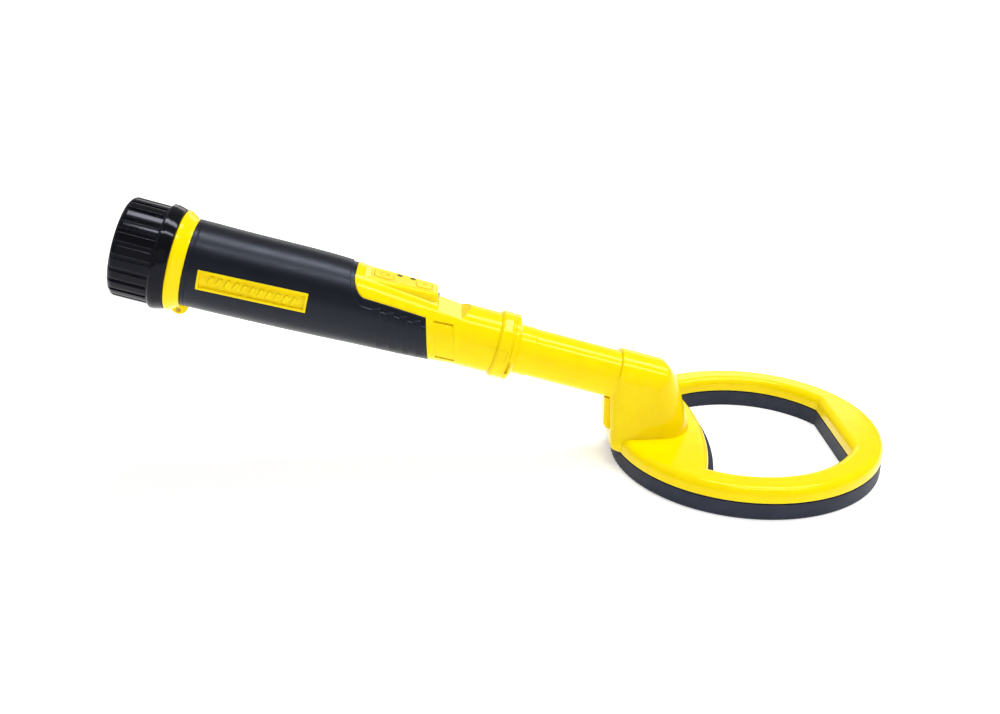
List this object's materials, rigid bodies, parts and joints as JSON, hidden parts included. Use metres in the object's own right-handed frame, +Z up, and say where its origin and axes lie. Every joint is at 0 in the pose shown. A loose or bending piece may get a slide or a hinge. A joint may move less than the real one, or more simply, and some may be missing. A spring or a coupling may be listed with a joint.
{
  "type": "pinpointer probe",
  "caption": "Hand-held underwater metal pinpointer: rubber-gripped round handle with a control pod, a fluted screw cap and a flat ring search coil on a tilted stem.",
  "frame": {"origin": "middle of the bounding box in plan, at the level of the coil's underside", "axes": "+X from the end cap to the front of the ring, +Z up from the coil's flat underside, +Y to the left seen from behind the cap"},
  "size_m": [0.3506, 0.127, 0.1266],
  "materials": {
    "yellow_shell": "moulded, glossy yellow",
    "black_rubber": "soft-touch, satin black",
    "black_cap": "semi-gloss black",
    "slate_base": "matte dark slate",
    "keypad_rubber": "satin yellow",
    "copper_coil": "enamelled copper wire",
    "potting": "cast resin",
    "lead_jacket": "matte",
    "inner_plastic": "moulded, plain",
    "seal_rubber": "smooth",
    "contact_metal": "plated",
    "steel": "plain",
    "board": "solder mask",
    "chips": "plain",
    "cell_wrap": "shrink wrap",
    "clear": "clear",
    "led": "clear over phosphor",
    "motor_can": "plain",
    "weight": "sintered",
    "washer": "natural"
  },
  "bodies": {
    "handle": {"barrel": "yellow_shell", "rear_collar": "yellow_shell", "badge_right": "yellow_shell", "badge_left": "yellow_shell", "grip_sleeve": "black_rubber", "keypad": "keypad_rubber", "cap_seal": "seal_rubber", "coil_socket": "inner_plastic", "charging_socket": "inner_plastic", "rear_bulkhead": "inner_plastic", "battery_cell": "cell_wrap", "battery_cradle": "inner_plastic", "battery_tabs": "steel", "main_board": "board", "board_screws": "steel", "board_chips": "chips", "tact_switches": "chips", "status_leds": "led", "indicator_windows": "clear", "sounder": "inner_plastic", "vibration_motor": "motor_can", "motor_saddle": "inner_plastic", "torch_lens": "clear", "torch_led": "led"},
    "coil_head": {"coil_cover": "yellow_shell", "coil_base": "slate_base", "coil_winding": "copper_coil", "coil_potting": "potting", "coil_lead": "lead_jacket", "hub_stem": "yellow_shell", "hub_back_plate": "yellow_shell", "stem_plug": "inner_plastic", "contact_pins": "contact_metal", "stem_seals": "seal_rubber"},
    "power_button": {"power_button": "keypad_rubber"},
    "retune_button": {"retune_button": "keypad_rubber"},
    "eccentric_weight": {"eccentric_weight": "weight"},
    "slip_washer": {"slip_washer": "washer"},
    "locking_ring": {"locking_ring": "yellow_shell"},
    "cap_gasket": {"cap_gasket": "seal_rubber"},
    "end_cap": {"end_cap": "black_cap"}
  },
  "joints": [
    {"name": "coil_pull", "type": "slide", "parent": "handle", "child": "coil_head", "axis": [0.9586, 0, -0.2847], "range_m": [0, 0.03]},
    {"name": "nut_travel", "type": "slide", "parent": "coil_head", "child": "slip_washer", "axis": [0.9586, 0, -0.2847], "range_m": [0, 0.00601]},
    {"name": "nut_turn", "type": "hinge", "parent": "slip_washer", "child": "locking_ring", "pos_m": [-0.0032, 0, 0.05659], "axis": [0.9586, 0, -0.2847], "range_deg": [0, 1080]},
    {"name": "cap_travel", "type": "slide", "parent": "handle", "child": "cap_gasket", "axis": [-0.9586, 0, 0.2847], "range_m": [0, 0.01201]},
    {"name": "cap_turn", "type": "hinge", "parent": "cap_gasket", "child": "end_cap", "pos_m": [-0.15658, 0, 0.10214], "axis": [-0.9586, 0, 0.2847], "range_deg": [0, 1440]},
    {"name": "power_press", "type": "slide", "parent": "handle", "child": "power_button", "axis": [-0.2763, 0, -0.9611], "range_m": [0, 0.0006], "stiffness_N_per_m": 1500, "springref_m": -0.0006},
    {"name": "retune_press", "type": "slide", "parent": "handle", "child": "retune_button", "axis": [-0.2763, 0, -0.9611], "range_m": [0, 0.0006], "stiffness_N_per_m": 1500, "springref_m": -0.0006},
    {"name": "weight_spin", "type": "hinge", "parent": "handle", "child": "eccentric_weight", "pos_m": [-0.06569, 0, 0.07098], "axis": [0.9586, 0, -0.2847], "continuous": true}
  ],
  "couplings": [
    {"joint": "nut_travel", "follows": "nut_turn", "m_per_rad": 0.00031831},
    {"joint": "cap_travel", "follows": "cap_turn", "m_per_rad": 0.00047746}
  ]
}
